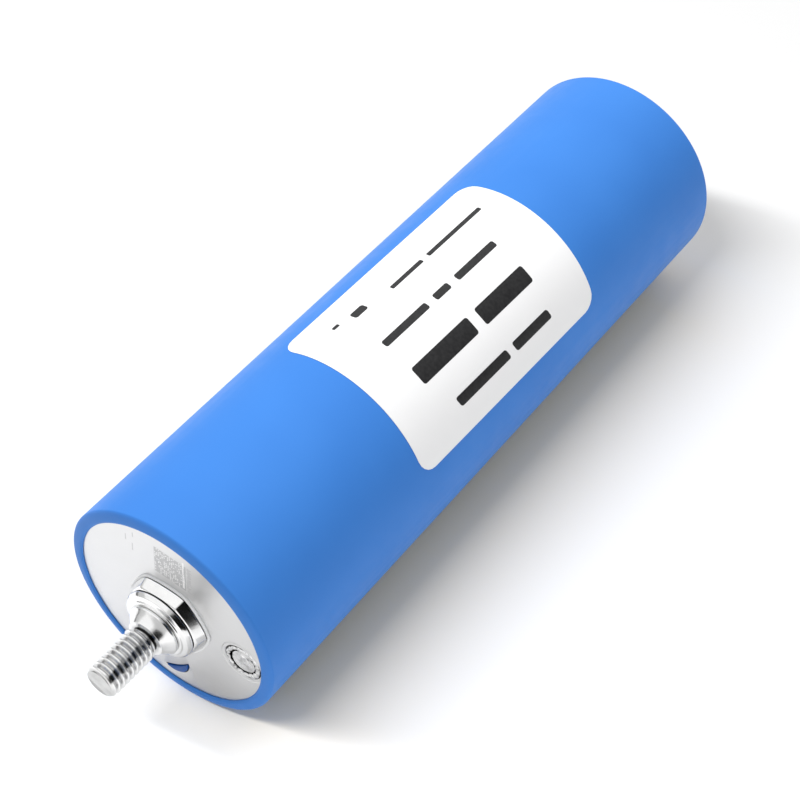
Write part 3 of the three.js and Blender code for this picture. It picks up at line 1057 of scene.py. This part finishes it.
def studio_floor():
    """White paper, with a painted warm tint beside the cell on its shaded side, which cancels the blue
    light that the sleeve throws on it.
    """
    m = Nodes("floor_paper")
    m.set(Specular_IOR_Level=0.1)
    paper = m.mix(m.range(m.noise(3, 2), 0, 1), (0.91, 0.91, 0.91), (0.93, 0.93, 0.93))
    near_axis = m.range(m.math("ABSOLUTE", m.coordinate("X")), 1, 0, 14 * MM, 47 * MM)
    shaded_side = m.range(m.coordinate("X"), 0.3, 1, -8 * MM, 10 * MM)
    beside = m.math("MULTIPLY", m.math("POWER", near_axis, 2.0), shaded_side)
    half = BODY_LENGTH / 2
    from_middle = m.math("ABSOLUTE", m.math("SUBTRACT", m.coordinate("Y"), PLAIN_END - half))
    between_ends = m.range(from_middle, 1, 0, half - 10 * MM, half + 7 * MM)
    # Painted tint: the paper beside the cell is warmer, to cancel the blue light from the sleeve.
    m.colour(m.mix(m.math("MULTIPLY", beside, between_ends), paper, (0.95, 0.83, 0.60)))
    m.rough(m.range(m.noise(40, 2), 0.85, 0.95))
    size = 4.0
    corners = [(-size, -size, 0), (size, -size, 0), (size, size, 0), (-size, size, 0)]
    mesh = bpy.data.meshes.new("floor")
    mesh.from_pydata(corners, [], [(0, 1, 2, 3)])
    mesh.materials.append(m.material)
    floor = bpy.data.objects.new("floor", mesh)
    bpy.context.scene.collection.objects.link(floor)
    return floor


def reflection_only(name, corners, material):
    """A flat card that is seen only in reflections, as a studio uses round polished metal."""
    mesh = bpy.data.meshes.new(name)
    mesh.from_pydata([tuple(corner) for corner in corners], [], [(0, 1, 2, 3)])
    mesh.materials.append(material)
    card = bpy.data.objects.new(name, mesh)
    bpy.context.scene.collection.objects.link(card)
    card.visible_camera = False
    card.visible_diffuse = False
    card.visible_shadow = False


def side_card(name, elevation, half_angle, distance, reach, glow=0.0):
    """A long card beside the cell, with soft long edges: black, or white where it glows."""
    m = Nodes(name)
    m.set(Specular_IOR_Level=0.0)
    m.colour(m.mix(m.range(m.noise(20, 2), 0, 1), (0.004, 0.004, 0.004), (0.006, 0.006, 0.006)))
    if glow:
        white = m.mix(m.range(m.noise(8, 2), 0, 1), (0.98, 0.98, 0.98), (1.0, 1.0, 1.0))
        m.link(white, m.shader.inputs["Emission Color"])
        m.set(Emission_Strength=glow)
    elevation = math.radians(elevation)
    half_width = distance * math.tan(math.radians(half_angle))
    out = Vector((math.cos(elevation), 0, math.sin(elevation)))
    wide = Vector((-math.sin(elevation), 0, math.cos(elevation)))
    off_middle = m.math("ABSOLUTE", m.math("SUBTRACT", m.along(wide), AXIS_Z * wide.z))
    m.link(m.range(off_middle, 1, 0, half_width * 0.72, half_width), m.shader.inputs["Alpha"])
    centre = Vector((0, PLAIN_END - RIM, AXIS_Z)) + out * distance
    corners = [centre + wide * side * half_width + Vector((0, along, 0))
               for side, along in ((-1, -reach), (1, -reach), (1, reach), (-1, reach))]
    reflection_only(name, corners, m.material)


def low_card():
    """A grey card on the floor in front of the terminal, which shades the lower right of the lid."""
    m = Nodes("low_card")
    m.set(Specular_IOR_Level=0.0)
    m.colour(m.mix(m.range(m.noise(20, 2), 0, 1), (0.04, 0.04, 0.04), (0.06, 0.06, 0.06)))
    rim = PLAIN_END - RIM
    front = rim - 36 * MM
    left = -22 * MM
    right = 60 * MM
    height = 0.6 * MM
    to_right = m.range(m.coordinate("X"), 0, 0.5, left, 16 * MM)
    near_cell = m.range(m.coordinate("Y"), 0, 1, front + 2 * MM, rim - 4 * MM)
    m.link(m.math("MULTIPLY", to_right, near_cell), m.shader.inputs["Alpha"])
    corners = [(left, front, height), (right, front, height), (right, rim, height), (left, rim, height)]
    reflection_only("low_card", corners, m.material)


def strip_light(name, elevation, lean_forward, distance, energy, length, width):
    """A lamp above the cell and to its left, long across the cell. lean_forward moves it to the front."""
    elevation = math.radians(elevation)
    lamp = bpy.data.lights.new(name, "AREA")
    lamp.shape = "RECTANGLE"
    lamp.size = length
    lamp.size_y = width
    lamp.energy = energy
    strip = bpy.data.objects.new(name, lamp)
    bpy.context.scene.collection.objects.link(strip)
    towards = Vector((-math.cos(elevation), -lean_forward * math.sin(elevation), math.sin(elevation)))
    towards.normalize()
    along = Vector((math.sin(elevation), 0, math.cos(elevation)))
    along = (along - towards * along.dot(towards)).normalized()
    turn = Matrix((along, towards.cross(along), towards)).transposed().to_4x4()
    strip.matrix_world = Matrix.Translation(towards * distance) @ turn
    strip.visible_camera = False
    return strip


def studio(floor):
    """A white room with three lights: a key and a fill for the cell, and a strip that only draws its
    shadow on the floor, soft beside the cell and sharper past its ends."""
    scene = bpy.context.scene
    scene.view_settings.view_transform = "Standard"
    world = bpy.data.worlds.new("studio")
    scene.world = world
    world.use_nodes = True
    background = world.node_tree.nodes["Background"]
    background.inputs["Color"].default_value = (1, 1, 1, 1)
    background.inputs["Strength"].default_value = 0.62
    for_floor = strip_light(
        "strip_for_floor", elevation=74, lean_forward=0.55, distance=0.86, energy=5.75,
        length=0.6, width=0.068)
    for_cell = strip_light(
        "strip_for_cell", elevation=62, lean_forward=-0.3, distance=1.5, energy=21.5,
        length=0.7, width=0.7)
    fill = strip_light(
        "fill_for_cell", elevation=142, lean_forward=0.3, distance=1.5, energy=3.2,
        length=0.9, width=0.9)
    for_cell.visible_glossy = False
    fill.visible_glossy = False
    for lamp, state in ((for_floor, "INCLUDE"), (for_cell, "EXCLUDE"), (fill, "EXCLUDE")):
        group = bpy.data.collections.new(lamp.name + "_receivers")
        group.objects.link(floor)
        group.collection_objects[0].light_linking.link_state = state
        lamp.light_linking.receiver_collection = group


def camera():
    """The photograph's viewing angle: from the front right, looking down at 47 degrees."""
    azimuth = math.radians(35.9)
    elevation = math.radians(46.84)
    distance = 0.3044
    aim = Vector((2.2 * MM, PLAIN_END - RIM + 57.0 * MM, AXIS_Z))
    back = Vector((
        math.sin(azimuth) * math.cos(elevation),
        -math.cos(azimuth) * math.cos(elevation),
        math.sin(elevation),
    ))
    data = bpy.data.cameras.new("camera")
    data.sensor_width = 36
    data.lens = 80.78
    data.clip_start = 0.01
    obj = bpy.data.objects.new("camera", data)
    bpy.context.scene.collection.objects.link(obj)
    obj.location = aim + back * distance
    obj.rotation_euler = (-back).to_track_quat("-Z", "Y").to_euler()
    bpy.context.scene.camera = obj


# ---------------------------------------------------------------- assembly

def dress(node, material):
    """Gives a CAD node that keeps its own mesh a procedural material."""
    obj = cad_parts[node]
    obj.data.materials.clear()
    obj.data.materials.append(material)


def moulded_white():
    """Natural white plastic."""
    return coated("moulded_white", (0.84, 0.845, 0.85), (0.90, 0.905, 0.91), (0.42, 0.55), 900, 0.02 * MM)


def inner_pieces(white):
    """The pieces inside the cell keep their CAD meshes and get their own finishes."""
    fine = 0.01 * MM
    coarse = 0.02 * MM
    rubber = coated(
        "seal_rubber", (0.012, 0.012, 0.013), (0.028, 0.028, 0.030), (0.7, 0.85), 1500, coarse)
    copper = coated(
        "bare_copper", (0.62, 0.30, 0.17), (0.74, 0.40, 0.25), (0.25, 0.42), 700, fine, metallic=1.0)
    plate = coated(
        "rolled_plate", (0.70, 0.70, 0.71), (0.80, 0.80, 0.81), (0.28, 0.42), 800, fine, metallic=1.0)
    cathode = coated(
        "cathode_coat", (0.018, 0.018, 0.020), (0.040, 0.040, 0.043), (0.75, 0.9), 2600, coarse)
    anode = coated(
        "anode_coat", (0.030, 0.024, 0.020), (0.060, 0.050, 0.044), (0.6, 0.8), 2600, coarse)
    film = coated(
        "separator_film", (0.80, 0.80, 0.78), (0.90, 0.90, 0.88), (0.5, 0.65), 2200, fine)
    tape = coated(
        "amber_tape", (0.50, 0.30, 0.06), (0.62, 0.40, 0.10), (0.3, 0.45), 600, fine)
    finishes = {
        "lid_insulator": white, "bottom_insulator": white, "core_tube": white,
        "lid_seal": rubber, "fill_port_stopper": rubber,
        "terminal_rivet": copper, "negative_collector": copper,
        "positive_collector": plate, "cathode_sheet": cathode, "anode_sheet": anode,
        "inner_separator": film, "outer_separator": film, "roll_wrap": tape,
    }
    for node, material in finishes.items():
        dress(node, material)


camera()
studio(studio_floor())
side_card("dark_card", elevation=27, half_angle=32, distance=0.36, reach=0.55)
side_card("thin_dark_card", elevation=180, half_angle=4, distance=0.36, reach=0.45)
side_card("white_card", elevation=112, half_angle=46, distance=0.5, reach=0.9, glow=1.08)
low_card()

shrink_sleeve(sleeve_film())
label_sheet(label_stock())
label_print(label_ink())
can_shell(can_metal())
top_lid(lid_metal())
port_cap(hammered_metal())
port_weld(weld_metal())
lid_marking(etched_metal())
code_cells(burnished_metal())
polarity_marker(marker_plastic())
terminal_block(plated_metal("block_plate", BLOCK_BOTTOM))
terminal_washer(plated_metal("washer_plate", WASHER_BOTTOM))
terminal_stud(thread_metal())
white = moulded_white()
terminal_insulator(white)
inner_pieces(white)
